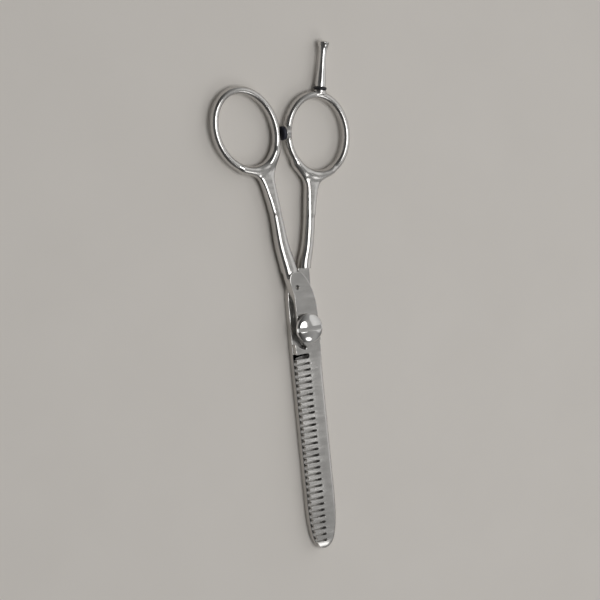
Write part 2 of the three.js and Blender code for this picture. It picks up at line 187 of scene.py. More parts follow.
def plate_field(plan, z, middle, half, edge):
    """A plate of a plan outline with its edges rounded by a radius."""
    a = plan + edge
    b = np.abs(z - middle) - half + edge
    return np.hypot(np.maximum(a, 0.0), np.maximum(b, 0.0)) + np.minimum(np.maximum(a, b), 0.0) - edge


def ring_distance(x, y, ring):
    """Plan distance to a ring's elliptical centreline, less than 0 inside it."""
    tilt = math.radians(ring["tilt"])
    across = (x - ring["x"]) * math.cos(tilt) + (y - ring["y"]) * math.sin(tilt)
    along = (y - ring["y"]) * math.cos(tilt) - (x - ring["x"]) * math.sin(tilt)
    short, long = ring["short"], ring["long"]
    u, v = np.abs(across), np.abs(along)
    tu = np.full(np.broadcast(u, v).shape, math.sqrt(0.5))
    tv = tu.copy()
    for _ in range(4):
        centre_u = (short ** 2 - long ** 2) * tu ** 3 / short
        centre_v = (long ** 2 - short ** 2) * tv ** 3 / long
        radius = np.hypot(short * tu - centre_u, long * tv - centre_v)
        reach = np.maximum(np.hypot(u - centre_u, v - centre_v), 1e-9)
        tu = np.clip((centre_u + (u - centre_u) * radius / reach) / short, 0.0, 1.0)
        tv = np.clip((centre_v + (v - centre_v) * radius / reach) / long, 0.0, 1.0)
        size = np.maximum(np.hypot(tu, tv), 1e-9)
        tu, tv = tu / size, tv / size
    distance = np.hypot(u - short * tu, v - long * tv)
    return np.where((across / short) ** 2 + (along / long) ** 2 < 1.0, -distance, distance)


CELL_CORNERS = [(i, j, k) for i in (0, 1) for j in (0, 1) for k in (0, 1)]


def surface_mesh(name, field, low, high, step):
    """The zero surface of a field as one closed quad mesh, with its points moved onto the surface."""
    axes = [np.arange(lo, hi + step, step) for lo, hi in zip(low, high)]
    values = field(axes[0][:, None, None], axes[1][None, :, None], axes[2][None, None, :])
    inside = values < 0.0
    cells = tuple(size - 1 for size in values.shape)
    total = np.zeros(cells + (3,))
    hits = np.zeros(cells)
    for a in CELL_CORNERS:
        for axis in range(3):
            if a[axis]:
                continue
            b = tuple(1 if n == axis else a[n] for n in range(3))
            va = values[a[0]:a[0] + cells[0], a[1]:a[1] + cells[1], a[2]:a[2] + cells[2]]
            vb = values[b[0]:b[0] + cells[0], b[1]:b[1] + cells[1], b[2]:b[2] + cells[2]]
            cut = (va < 0.0) != (vb < 0.0)
            t = np.where(cut, va / np.where(cut, va - vb, 1.0), 0.0)
            for n in range(3):
                total[..., n] += np.where(cut, a[n] + (t if n == axis else 0.0), 0.0)
            hits += cut
    used = hits > 0
    number = np.full(cells, -1)
    number[used] = np.arange(used.sum())
    corner = np.argwhere(used)
    points = (corner + total[used] / hits[used][:, None]) * step + np.array([axis[0] for axis in axes])
    quads = []
    for axis in range(3):
        u, v = (axis + 1) % 3, (axis + 2) % 3
        before = inside.take(range(inside.shape[axis] - 1), axis)
        after = inside.take(range(1, inside.shape[axis]), axis)
        for flip, changed in ((False, before & ~after), (True, ~before & after)):
            at = np.argwhere(changed)
            at = at[(at[:, u] > 0) & (at[:, v] > 0) & (at[:, u] < cells[u]) & (at[:, v] < cells[v])]
            around = []
            for du, dv in ((1, 1), (0, 1), (0, 0), (1, 0)):
                cell = at.copy()
                cell[:, u] -= du
                cell[:, v] -= dv
                around.append(number[cell[:, 0], cell[:, 1], cell[:, 2]])
            quad = np.stack(around, axis=1)
            quads.append(quad[:, ::-1] if flip else quad)
    points = settle(points, field, step)
    return new_mesh(name, points, np.concatenate(quads))


def slope_of(field, points, here, reach):
    """The field's slope at some points, from its values there and a short way along each axis."""
    x, y, z = points.T
    ahead = (field(x + reach, y, z), field(x, y + reach, z), field(x, y, z + reach))
    return (np.stack(ahead, axis=1) - here[:, None]) / reach


def settle(points, field, step):
    """Newton steps along the field's slope, each kept under half a cell."""
    for _ in range(3):
        here = field(*points.T)
        slope = slope_of(field, points, here, 0.01 * step)
        size = np.maximum((slope ** 2).sum(axis=1), 0.05)
        move = -slope * (here / size)[:, None]
        length = np.maximum(np.linalg.norm(move, axis=1), 1e-9)
        points = points + move * np.minimum(1.0, 0.5 * step / length)[:, None]
    return points


def shade_from_field(piece, field, above_y):
    """Takes the normals beyond a place along the piece from the field, where the mesh agrees with it."""
    mesh = piece.data
    spots = read_all(mesh.vertices, "co", 3) / MM
    corner_vertex = read_all(mesh.loops, "vertex_index", 1)[:, 0].astype(int)
    plain = read_all(mesh.corner_normals, "vector", 3)
    slope = slope_of(field, spots, field(*spots.T), 0.002)
    slope /= np.maximum(np.linalg.norm(slope, axis=1), 1e-9)[:, None]
    smooth = slope[corner_vertex]
    agree = ((smooth * plain).sum(axis=1) > 0.7) & (spots[corner_vertex, 1] > above_y)
    mesh.normals_split_custom_set(np.where(agree[:, None], smooth, plain).tolist())


def read_all(collection, name, width):
    """One property of every element of a mesh collection."""
    values = np.zeros(width * len(collection))
    collection.foreach_get(name, values)
    return values.reshape(-1, width)


# ---- explicit meshes ----

def new_mesh(name, points, faces):
    """A smooth-shaded mesh object from points in millimetres."""
    mesh = bpy.data.meshes.new(name)
    mesh.from_pydata((np.asarray(points) * MM).tolist(), [], [list(map(int, face)) for face in faces])
    mesh.update()
    mesh.polygons.foreach_set("use_smooth", [True] * len(mesh.polygons))
    piece = bpy.data.objects.new(name, mesh)
    bpy.context.scene.collection.objects.link(piece)
    return piece


def loft(name, sections):
    """Closed sections of equal length joined end to end, with both ends capped."""
    count = len(sections[0])
    points = np.concatenate(sections)
    faces = []
    for row in range(len(sections) - 1):
        for side in range(count):
            after = (side + 1) % count
            a, b = row * count + side, row * count + after
            faces.append([a, b, b + count, a + count])
    faces.append(list(range(count))[::-1])
    faces.append(list(range((len(sections) - 1) * count, len(sections) * count)))
    return new_mesh(name, points, faces)


def turned(name, profile, steps=96):
    """A solid turned about Z from (radius, height) pairs that end on the axis or where they started."""
    points = []
    rings = []
    for radius, height in profile:
        if rings and radius > 0.0 and (radius, height) == tuple(profile[0]):
            rings.append(rings[0])
            continue
        if radius == 0.0:
            rings.append([len(points)] * steps)
            points.append((0.0, 0.0, height))
            continue
        rings.append(list(range(len(points), len(points) + steps)))
        for step in range(steps):
            angle = 2.0 * math.pi * step / steps
            points.append((radius * math.cos(angle), radius * math.sin(angle), height))
    faces = []
    for lower, upper in zip(rings[:-1], rings[1:]):
        for step in range(steps):
            after = (step + 1) % steps
            quad = [lower[step], lower[after], upper[after], upper[step]]
            face = [index for n, index in enumerate(quad) if index != quad[n - 1]]
            if len(face) > 2:
                faces.append(face)
    return new_mesh(name, points, faces)


def combined(piece, other, operation):
    """Joins or cuts a piece with another, which is used up."""
    change = piece.modifiers.new("change", "BOOLEAN")
    change.operation = operation
    change.solver = "MANIFOLD"
    change.object = other
    bpy.context.view_layer.update()
    result = bpy.data.meshes.new_from_object(piece.evaluated_get(bpy.context.evaluated_depsgraph_get()))
    piece.modifiers.clear()
    piece.data = result
    bpy.data.objects.remove(other)
    return piece


# ---- the forged halves: shanks and arms are stations of (x, y, half width, half height) ----

COMB_NECK = [
    (-0.9, 8.0, 1.7, 2.4), (-2.5, 15.0, 2.4, 2.4), (-3.3, 20.0, 2.5, 2.3), (-4.9, 27.5, 2.15, 2.1),
    (-5.7, 35.0, 1.85, 1.95), (-6.3, 40.0, 1.7, 1.85), (-7.3, 45.5, 1.6, 1.75), (-8.6, 51.5, 1.2, 1.5),
]
CUTTING_NECK = [
    (1.4, 8.0, 1.9, 2.4), (2.0, 15.0, 2.1, 2.4), (2.8, 20.5, 2.05, 2.3), (4.5, 26.0, 1.9, 2.1),
    (5.95, 33.2, 1.85, 1.95), (7.0, 40.8, 1.75, 1.85), (8.0, 45.0, 1.6, 1.75), (8.9, 47.5, 1.2, 1.5),
]
COMB_ARMS = [
    [(-6.3, 39.0, 0.5, 0.8), (-7.6, 44.6, 1.0, 1.3), (-9.5, 49.3, 1.15, 1.4), (-12.6, 52.2, 1.1, 1.4),
     (-16.0, 53.4, 1.0, 1.3)],
    [(-6.3, 39.0, 0.5, 0.8), (-6.8, 44.6, 1.0, 1.3), (-6.6, 49.2, 1.1, 1.4), (-5.4, 53.0, 1.1, 1.4),
     (-3.7, 57.0, 1.0, 1.3)],
]
CUTTING_ARMS = [
    [(6.7, 36.5, 0.5, 0.8), (7.3, 41.6, 1.0, 1.3), (7.1, 45.4, 1.1, 1.4), (5.7, 48.6, 1.1, 1.4),
     (3.4, 52.2, 1.0, 1.3)],
    [(6.7, 36.5, 0.5, 0.8), (8.0, 41.6, 1.0, 1.3), (9.6, 45.0, 1.15, 1.4), (12.2, 47.4, 1.1, 1.4),
     (15.4, 48.9, 1.0, 1.3)],
]
FLATS = {"y": [18.0, 27.0, 35.0, 42.0, 48.0, 55.0], "half": [2.45, 2.17, 1.99, 1.8, 1.5, 1.3]}
WEB = 1.9


def handle_field(x, y, z, neck, arms, ring, squareness):
    """A shank with flats above and below that forks into two arms and runs into its ring."""
    shank = bar_field(x, y, z, catmull(neck, 6), squareness)
    for arm in arms:
        shank = smooth_min(shank, bar_field(x, y, z, catmull(arm, 9), squareness=2.15), k=WEB)
    half_height = np.interp(y, FLATS["y"], FLATS["half"])
    shank = smooth_max(shank, np.abs(z - PARTING) - half_height, k=0.5)
    distance = ring_distance(x, y, ring)
    shank = smooth_max(shank, -distance, k=0.4)
    bar = bar_section(distance, z, BAR_WIDTH, BAR_HEIGHT, squareness=2.1)
    return smooth_min(shank, bar, k=WEB)


def comb_forging(x, y, z):
    """The comb half from the root of its first gap to its ring, cut away at the left to leave a ledge."""
    right = catmull([(-0.2, 18.3), (1.2, 16.6), (2.7, 13.8), (3.8, 10.6), (4.35, 7.0), (4.55, 2.0),
                     (4.6, -2.0), (4.72, -6.0), (SPINE_X, -9.0)], 4)
    relief = catmull([(-4.45, -4.7), (-3.4, -5.7), (-1.9, -6.6), (-1.05, -6.75), (-0.8, -6.1), (-1.7, -4.9),
                      (-2.7, -3.1), (-3.2, -1.0), (-3.35, 1.4), (-3.4, 6.2), (-3.55, 11.4), (-4.4, 14.9),
                      (-4.2, 17.2), (-3.0, 18.4)], 4)
    below = [(SPINE_X, FIRST_GAP[1]), (-4.5, FIRST_GAP[1]), (-4.7, -5.2)]
    plan = polygon_field(x, y, np.concatenate([right, below, relief]))
    hub = plate_field(plan, z, middle=3.9, half=1.6, edge=0.16)
    handle = handle_field(x, y, z, COMB_NECK, COMB_ARMS, THUMB_RING, squareness=2.7)
    solid = smooth_min(hub, handle, k=0.8)
    solid = smooth_max(solid, z - HUB_TOP, k=0.15)
    radius = np.hypot(x, y)
    lowered = np.minimum(z - COMB_TOP, np.minimum(radius - HUB_STEP_R, -y))
    solid = smooth_max(solid, lowered, k=0.15)
    solid = smooth_max(solid, np.minimum(NECK_STEP_R - radius, UPPER_BOTTOM - z), k=0.1)
    solid = np.maximum(solid, BUSH_BORE_R - radius)
    around = np.hypot(x - DIMPLE["x"], y - DIMPLE["y"])
    dimple = np.maximum(around - DIMPLE["r"], HUB_TOP - DIMPLE["depth"] - z)
    return smooth_max(solid, -dimple, k=0.08)


def cutting_forging(x, y, z):
    """The cutting half from the start of its blade to its ring, with the seats of the pivot's parts."""
    left = catmull([(-0.4, 18.4), (-1.7, 18.0), (-3.2, 16.2), (-4.1, 13.0), (-4.5, 8.5), (-4.62, 2.0),
                    (-4.7, -2.0), (-4.78, -8.3)], 4)
    right = catmull([(4.3, -8.3), (4.55, -6.6), (4.6, -2.0), (4.5, 3.0), (4.4, 7.0), (4.3, 17.2),
                     (3.4, 18.3), (1.6, 18.5)], 4)
    plan = polygon_field(x, y, np.concatenate([left, right]))
    hub = plate_field(plan, z, middle=0.5 * LOWER_TOP, half=0.5 * LOWER_TOP, edge=0.12)
    handle = handle_field(x, y, z, CUTTING_NECK, CUTTING_ARMS, FINGER_RING, squareness=2.2)
    radius = np.hypot(x, y)
    handle = smooth_max(handle, np.minimum(NECK_STEP_R - radius, z - LOWER_TOP), k=0.1)
    solid = smooth_min(hub, handle, k=0.6)
    solid = np.maximum(solid, np.where(radius < NECK_STEP_R, z - LOWER_TOP, -1.0))
    solid = smooth_max(solid, -z, k=0.1)
    solid = bumper_pad(x, y, z, solid)
    solid = rest_boss(x, y, z, solid)
    solid = np.maximum(solid, POST_BORE_R - radius)
    counterbore = np.maximum(radius - COUNTERBORE["r"], COUNTERBORE["floor"] - z)
    solid = np.maximum(solid, -counterbore)
    seat = np.maximum(radius - FLANGE_SEAT["r"], np.abs(y) - FLANGE_SEAT["flat"])
    return np.maximum(solid, -np.maximum(seat, z - FLANGE_SEAT["top"]))


def bumper_pad(x, y, z, solid):
    """Adds the round pad that carries the bumper, faces it off and bores it for the stud."""
    pad_r, pad_middle, pad_half, face_x = 2.3, 0.8, 0.84, -0.04
    bore_r, bore_end = 0.86, 2.4
    around = np.hypot(y - BUMPER_Y, z - PARTING)
    pad = np.maximum(around - pad_r, np.abs(x - pad_middle) - pad_half)
    solid = smooth_min(solid, pad, k=0.5)
    solid = np.maximum(solid, -np.maximum(x - face_x, around - (pad_r + 0.4)))
    return np.maximum(solid, -np.maximum(around - bore_r, x - bore_end))


def rest_boss(x, y, z, solid):
    """Adds the boss under the finger rest, faces it off and bores it for the rest's thread."""
    boss_r, boss_middle, boss_half = 1.95, 13.55, 0.65
    bore_r, bore_start = 1.01, 12.0
    turn = math.radians(REST_ANGLE)
    dx, dy = x - FINGER_RING["x"], y - FINGER_RING["y"]
    along = dx * math.sin(turn) + dy * math.cos(turn)
    around = np.hypot(dx * math.cos(turn) - dy * math.sin(turn), z - PARTING)
    boss = np.maximum(around - boss_r, np.abs(along - boss_middle) - boss_half)
    solid = smooth_min(solid, boss, k=0.7)
    above = np.maximum(boss_middle + boss_half - along, around - (boss_r + 0.65))
    solid = np.maximum(solid, -above)
    return np.maximum(solid, -np.maximum(around - bore_r, bore_start - along))


# ---- the blades ----

def bezier(points, steps):
    """A cubic curve from its four control points."""
    t = np.linspace(0.0, 1.0, steps + 1)[:, None]
    p0, p1, p2, p3 = (np.array(point) for point in points)
    return (1 - t) ** 3 * p0 + 3 * (1 - t) ** 2 * t * p1 + 3 * (1 - t) * t ** 2 * p2 + t ** 3 * p3


def outline_at(y, sign):
    """How far the closed blades reach to one side at a height along them."""
    if y >= SPINE_END_Y:
        return sign * SPINE_X
    knee = (sign * SPINE_X, SPINE_END_Y)
    below_knee = (sign * SPINE_X, SPINE_END_Y - NOSE_CURVE["along"])
    beside_tip = (TIP[0] + sign * NOSE_CURVE["across"], TIP[1] + NOSE_CURVE["above"])
    side = bezier([knee, below_knee, beside_tip, TIP], 200)
    return float(np.interp(-y, -side[:, 1], side[:, 0]))


def smooth_step(value, low, high):
    """Rises from 0 to 1 between two values, level at both ends."""
    t = min(max((value - low) / (high - low), 0.0), 1.0)
    return t * t * (3.0 - 2.0 * t)


def nose_round(y):
    """How far the end of a blade has rounded over, from 0 to 1 at the tip."""
    share = min(max((TIP[1] + NOSE_LENGTH - y) / NOSE_LENGTH, 0.0), 1.0)
    return 1.0 - math.sqrt(1.0 - share * share)


def droop(y):
    """How far the outer face of a blade falls towards its tip."""
    return BLADE_DROOP * smooth_step(-y, -SPINE_END_Y, -TIP[1]) ** 2 + NOSE_FALL * nose_round(y)


def comb_section(y, left):
    """The comb blade cut across at one place: a rounded spine, a flat land and the slope of the teeth."""
    right = outline_at(y, 1) - TUCK
    width = right - left
    bottom = UPPER_BOTTOM + TUCK
    top = COMB_TOP - TUCK - droop(y)
    grown = smooth_step(-y, 8.0, 15.0)
    across = min(0.3 + 0.9 * grown, 0.3 * width)
    down = min(0.3 + 0.45 * grown, 0.5 * (top - UPPER_BOTTOM))
    crease = min(TOOTH_ROOT_X + 1.0, left + 0.62 * width)
    inner = min(TOOTH_ROOT_X + 0.3, left + 0.45 * width)
    chamfer = min(0.06, 0.1 * width)
    bottom_edge = min(EDGE_BREAK, 0.1 * width)

    def slope(x):
        return max(top - (crease - x) / TOOTH_SLOPE, UPPER_BOTTOM + TOOTH_TIP_THICKNESS)

    points = [(left, bottom), (right - bottom_edge, bottom), (right, bottom + EDGE_BREAK)]
    for step in range(7):
        angle = 0.5 * math.pi * (1.0 - step / 6.0)
        points.append((right - across + across * math.sin(angle), top - down + down * math.cos(angle)))
    points.append((crease, top))
    points.append((inner, slope(inner)))
    points.append((left + chamfer, slope(left + chamfer)))
    points.append((left, slope(left) - chamfer))
    return np.array([(x, y, z) for x, z in points])


def gap_sections(middle, radius):
    """The round end of one gap between teeth."""
    sections = []
    for share in (1.0, 0.92, 0.7, 0.38, 0.0, -0.38, -0.7, -0.92, -1.0):
        left = TOOTH_ROOT_X - radius + radius * math.sqrt(1.0 - share * share)
        sections.append(comb_section(middle + share * radius, left))
    return sections


TOOTH_TIP = ((0.004, 0.14), (0.1, 0.03), (0.3, 0.0), (0.6, 0.24), (0.9, 0.0), (1.1, 0.03), (1.196, 0.14))


def tooth_sections(top):
    """One tooth with round corners and a notched tip, which holds the hair while the blades close on it."""
    sections = []
    for below, back in TOOTH_TIP:
        y = top - below
        sections.append(comb_section(y, outline_at(y, -1) + TOOTH_SETBACK + back))
    return sections


def comb_blade_loft():
    """The toothed blade from inside the hub to the tip."""
    first_radius = 0.5 * (FIRST_GAP[1] - FIRST_GAP[0])
    sections = [comb_section(-7.0, TOOTH_ROOT_X - 0.3), comb_section(-7.9, TOOTH_ROOT_X - first_radius)]
    sections += gap_sections(0.5 * (FIRST_GAP[0] + FIRST_GAP[1]), first_radius)
    radius = 0.5 * (TOOTH_PITCH - TOOTH_WIDTH)
    for tooth in range(TOOTH_COUNT):
        top = FIRST_GAP[0] - tooth * TOOTH_PITCH
        sections += tooth_sections(top)
        sections += gap_sections(top - TOOTH_WIDTH - radius, radius)
    nose = FIRST_GAP[0] - TOOTH_COUNT * TOOTH_PITCH
    for share in (0.002, 0.1, 0.2, 0.3, 0.4, 0.5, 0.6, 0.7, 0.78, 0.86, 0.92, 0.96, 0.985):
        y = nose + share * (TIP[1] - nose)
        sections.append(comb_section(y, outline_at(y, -1) + TUCK))
    return loft("comb_teeth", sections)


def cutting_edge_at(y):
    """How far the edge of the closed cutting blade reaches to the right."""
    return float(np.interp(-y, [-8.0, 7.6, 8.6, 9.6, 10.5, 66.0, 70.0, 72.2],
                           [4.4, 4.4, 4.3, 3.8, 3.6, 1.6, 0.9, TIP[0]]))


def cutting_section(y):
    """The cutting blade cut across: blunt back, flat outside, convex bevel and hollow inner face."""
    hub_side = -4.7 + 0.1 * (y + 2.0) / 8.0
    back = hub_side if y >= -10.0 else outline_at(y, -1) + TUCK
    edge = cutting_edge_at(y)
    width = edge - back
    rise = droop(y)
    bevel = smooth_step(-y, 9.0, 12.0)
    start = edge - min(HEEL_BREAK + (BEVEL["width"] - HEEL_BREAK) * bevel, 0.55 * width)
    edge_z = HEEL_BREAK + (LOWER_TOP - BEVEL["lip"] - HEEL_BREAK) * bevel
    edge_z = max(edge_z, rise + EDGE_BREAK)
    chamfer = min(0.35, 0.12 * width)
    points = [(back + chamfer, rise), (start, rise)]
    for share in (0.2, 0.4, 0.6, 0.8, 1.0):
        bulge = min(BEVEL["bulge"] * bevel * math.sin(math.pi * share), rise + 0.12)
        points.append((start + share * (edge - start), rise + share * (edge_z - rise) - bulge))
    top = LOWER_TOP - TUCK
    points.append((edge, top))
    ride = min(0.9, 0.15 * width)
    for share in (0.0, 0.25, 0.5, 0.75, 1.0):
        x = edge - ride - share * (width - 2.0 * ride)
        points.append((x, top - INNER_HOLLOW * bevel * math.sin(math.pi * share)))
    points.append((back + 0.3 * chamfer, top))
    points.append((back, top - 0.3 * chamfer))
    points.append((back, rise + chamfer))
    return np.array([(x, y, z) for x, z in points])


def cutting_blade_loft():
    """The smooth blade from inside the hub to the tip."""
    stations = [-7.4, -8.0, -8.6, -9.0, -9.4, -9.9, -10.5, -11.3, -12.2]
    stations += list(np.linspace(-14.0, SPINE_END_Y, 12))
    stations += list(np.linspace(SPINE_END_Y - 2.0, -68.0, 9))
    stations += [-68.8, -69.4, -70.0, -70.5, -70.9, -71.3, -71.6, -71.85, -72.05]
    return loft("cutting_edge", [cutting_section(y) for y in stations])


def first_gap_pocket():
    """A hollow in the cutting blade under the comb's first gap, falling towards the root of the teeth."""
    outer_x, inner_x, bottom = -4.75, 0.35, 0.7
    above = LOWER_TOP + 0.3
    side = np.array([(outer_x, above), (outer_x, LOWER_TOP), (inner_x, bottom), (inner_x, above)])
    ends = [np.insert(side, 1, y, axis=1) for y in (FIRST_GAP[0] - 0.1, FIRST_GAP[1] + 0.1)]
    return loft("pocket", ends)


# ---- turned and small parts ----

def tube_profile(inner, outer, bottom, top, edge):
    """A closed profile of a flat ring with broken edges."""
    return [(inner, bottom + edge), (inner + edge, bottom), (outer - edge, bottom), (outer, bottom + edge),
            (outer, top - edge), (outer - edge, top), (inner + edge, top), (inner, top - edge),
            (inner, bottom + edge)]


def screw_field(x, y, z):
    """The tension screw: a domed head with a coin slot on a plain stem."""
    radius = np.hypot(x, y)
    dome = np.sqrt((radius / SCREW["r"]) ** 2 + (np.maximum(z - SCREW["rim"], 0.0) / SCREW["dome"]) ** 2)
    dome = (dome - 1.0) * SCREW["dome"]
    head = smooth_max(dome, radius - (SCREW["r"] - TUCK), k=0.12)
    head = smooth_max(head, SCREW["bottom"] - z, k=0.12)
    stem = np.maximum(z - SCREW["stem_top"], SCREW["stem_end"] - z)
    stem = np.maximum(radius - SCREW["stem_r"], stem)
    slot = np.maximum(np.abs(y) - SCREW["slot"], SCREW["slot_floor"] - z)
    return smooth_max(np.minimum(head, stem), -slot, k=0.16)


def keyed_disc(x, y, z, radius, flat, bottom, top):
    """The plan field and the height field of a disc about the pivot with two flats across Y."""
    plan = np.maximum(np.hypot(x, y) - radius, np.abs(y) - flat)
    return plan, np.abs(z - 0.5 * (bottom + top)) - 0.5 * (top - bottom)


def post_field(x, y, z):
    """The pivot post: a flange and a neck with two flats each, a round journal, and the screw's bore."""
    radius = np.hypot(x, y)
    journal_r, journal_half = 2.25, 2.2
    bore_r, bore_end = 1.56, 1.3
    flange = smooth_max(*keyed_disc(x, y, z, radius=3.7, flat=3.1, bottom=0.0, top=0.9), k=0.12)
    journal = np.maximum(radius - journal_r, np.abs(z - PARTING) - journal_half)
    neck = np.maximum(*keyed_disc(x, y, z, radius=2.2, flat=1.85, bottom=4.6, top=5.7))
    solid = np.minimum(flange, np.minimum(journal, neck))
    return smooth_max(solid, -np.maximum(radius - bore_r, bore_end - z), k=0.08)


def click_washer_profile():
    """A dished washer, higher at its hole than at its rim."""
    return [(2.3, 5.56), (2.4, 5.51), (4.1, 5.39), (4.2, 5.43), (4.2, 5.57), (4.1, 5.61), (2.4, 5.73),
            (2.3, 5.68), (2.3, 5.56)]


def stud_profile():
    """A plain pin with broken ends; heights run away from the finger ring."""
    return [(0.0, -2.3), (0.7, -2.3), (0.8, -2.2), (0.8, 0.42), (0.72, 0.5), (0.0, 0.5)]


def bumper_profile():
    """Heights run away from the finger ring; the face that meets the thumb ring is slightly crowned."""
    profile = [(0.0, 0.56), (0.87, 0.56), (0.87, 0.1), (2.15, 0.1), (2.27, 0.2)]
    for step in range(7):
        angle = 0.5 * math.pi * step / 6.0
        profile.append((1.9 + 0.4 * math.cos(angle), 0.78 + 0.36 * math.sin(angle)))
    return profile + [(1.4, 1.165), (0.7, 1.185), (0.0, 1.19)]


def rest_profile():
    """A thread, a waisted stem and a flared, rounded end; heights run out from the ring's centre."""
    waist = catmull([(1.7, 15.38), (1.74, 16.4), (1.66, 17.6), (1.35, 21.5), (1.2, 25.0), (1.46, 27.6),
                     (1.86, 28.9)], 6)
    profile = [(0.0, 12.35), (0.9, 12.35), (0.93, 12.4), (0.93, 15.36)] + [tuple(point) for point in waist]
    end_r, end_middle, end_height = 1.98, 29.45, 0.63
    for step in range(1, 10):
        angle = math.pi * (-0.15 + 0.65 * step / 10.0)
        profile.append((max(0.0, end_r * math.cos(angle)), end_middle + end_height * math.sin(angle)))
    return profile + [(0.0, end_middle + end_height)]


def stand_on_rest_axis(piece):
    """Turns a piece made about Z onto the finger rest's axis."""
    turn = Matrix.Rotation(-math.radians(REST_ANGLE), 4, "Z") @ Matrix.Rotation(-0.5 * math.pi, 4, "X")
    place = Vector((FINGER_RING["x"], FINGER_RING["y"], PARTING)) * MM
    piece.data.transform(Matrix.Translation(place) @ turn)
    return piece


def stand_on_bumper_axis(piece):
    """Turns a piece made about Z so that its heights run to -X at the bumper."""
    place = Vector((0.0, BUMPER_Y, PARTING)) * MM
    piece.data.transform(Matrix.Translation(place) @ Matrix.Rotation(-0.5 * math.pi, 4, "Y"))
    return piece


# ---- finishing ----

CREASE = 24.0
TURNED_CREASE = 50.0
SOFT_CREASE = 60.0


def edges_sharper_than(piece, degrees, where=None):
    """Keeps edges above an angle sharp, everywhere or only where a test of their middles says so."""
    mesh = piece.data
    mesh.set_sharp_from_angle(angle=math.radians(degrees))
    if where is not None:
        sharp = mesh.attributes["sharp_edge"].data
        flags = read_all(sharp, "value", 1)[:, 0] > 0.5
        ends = read_all(mesh.edges, "vertices", 2).astype(int)
        spots = read_all(mesh.vertices, "co", 3) / MM
        sharp.foreach_set("value", flags & where(0.5 * (spots[ends[:, 0]] + spots[ends[:, 1]])))
    return piece


def turned_part(name, profile, crease=TURNED_CREASE):
    """A turned piece that keeps its sharp edges."""
    return edges_sharper_than(turned(name, profile), crease)


# ---- materials ----

class Nodes:
    """A shorthand for building a material's node tree."""

    def __init__(self, name):
        self.material = bpy.data.materials.new(name)
        self.material.use_nodes = True
        self.tree = self.material.node_tree
        self.shader = self.tree.nodes["Principled BSDF"]
        self.place = self.tree.nodes.new("ShaderNodeTexCoord").outputs["Object"]

    def node(self, kind, links=(), **settings):
        made = self.tree.nodes.new(kind)
        for key, value in settings.items():
            setattr(made, key, value)
        for socket, value in dict(links).items():
            if isinstance(value, bpy.types.NodeSocket):
                self.tree.links.new(value, made.inputs[socket])
            else:
                made.inputs[socket].default_value = value
        return made

    def stretched(self, scale):
        return self.node("ShaderNodeMapping", {"Vector": self.place, "Scale": scale}).outputs["Vector"]

    def noise(self, vector, scale, detail=3.0, roughness=0.55):
        made = self.node("ShaderNodeTexNoise", {"Vector": vector, "Scale": scale, "Detail": detail,
                                                "Roughness": roughness})
        return made.outputs["Fac"]

    def between(self, value, low, high, out_low, out_high):
        made = self.node("ShaderNodeMapRange", {"Value": value, "From Min": low, "From Max": high,
                                                "To Min": out_low, "To Max": out_high})
        return made.outputs["Result"]

    def math(self, operation, a, b=0.0):
        return self.node("ShaderNodeMath", {0: a, 1: b}, operation=operation).outputs[0]

    def ramp(self, value, stops):
        made = self.node("ShaderNodeValToRGB", {"Fac": value})
        elements = made.color_ramp.elements
        while len(elements) < len(stops):
            elements.new(0.5)
        for element, (position, colour) in zip(elements, stops):
            element.position = position
            element.color = (*colour, 1.0)
        return made.outputs["Color"]

    def bump(self, height, strength, distance):
        made = self.node("ShaderNodeBump", {"Height": height, "Strength": strength, "Distance": distance})
        self.tree.links.new(made.outputs["Normal"], self.shader.inputs["Normal"])

    def feed(self, socket, value):
        if isinstance(value, bpy.types.NodeSocket):
            self.tree.links.new(value, self.shader.inputs[socket])
        else:
            self.shader.inputs[socket].default_value = value


GROUND_FROM_Y = -7.5
GROUND_FULL_Y = -10.5


def steel_material(name, shade, rough, ground):
    """Stainless steel: polished, and ground across the blades where ground is more than 0."""
    nodes = Nodes(name)
    cloud = nodes.noise(nodes.place, 140.0, 4.0)
    wipe = nodes.noise(nodes.stretched((160.0, 900.0, 300.0)), 1.0, 5.0)
    scratch = nodes.noise(nodes.stretched((500.0, 14000.0, 2500.0)), 1.0, 2.0, 0.7)
    hair = nodes.noise(nodes.stretched((9000.0, 700.0, 5000.0)), 1.0, 2.0, 0.7)
    along = nodes.node("ShaderNodeSeparateXYZ", {"Vector": nodes.place}).outputs["Y"]
    blade = nodes.between(along, GROUND_FROM_Y * MM, GROUND_FULL_Y * MM, 0.0, 1.0)
    grain = nodes.math("MULTIPLY", blade, ground)
    nodes.feed("Base Color", nodes.ramp(cloud, [
        (0.3, tuple(0.90 * part for part in shade)),
        (0.52, shade),
        (0.75, tuple(1.05 * part for part in shade)),
    ]))
    nodes.feed("Metallic", 1.0)
    base = nodes.between(wipe, 0.3, 0.7, rough[0], rough[1])
    nodes.feed("Roughness", nodes.math("ADD", base, nodes.math("MULTIPLY", grain, 0.04)))
    fine = nodes.math("MULTIPLY", nodes.math("SUBTRACT", scratch, 0.5), nodes.math("MULTIPLY", grain, 0.3))
    faint = nodes.math("MULTIPLY", hair, 0.04)
    nodes.bump(nodes.math("ADD", fine, faint), 0.35, 0.00004)
    return nodes.material


def turned_steel_material(name, shade, rough):
    """Polished steel with the faint rings that turning leaves."""
    nodes = Nodes(name)
    spots = nodes.noise(nodes.place, 420.0, 4.0)
    rings = nodes.noise(nodes.stretched((600.0, 600.0, 9000.0)), 1.0, 2.0)
    nodes.feed("Base Color", nodes.ramp(spots, [
        (0.3, tuple(0.93 * part for part in shade)), (0.7, shade),
    ]))
    nodes.feed("Metallic", 1.0)
    nodes.feed("Roughness", nodes.between(spots, 0.3, 0.7, rough[0], rough[1]))
    nodes.bump(nodes.math("ADD", nodes.math("MULTIPLY", rings, 0.5), spots), 0.12, 0.00003)
    return nodes.material


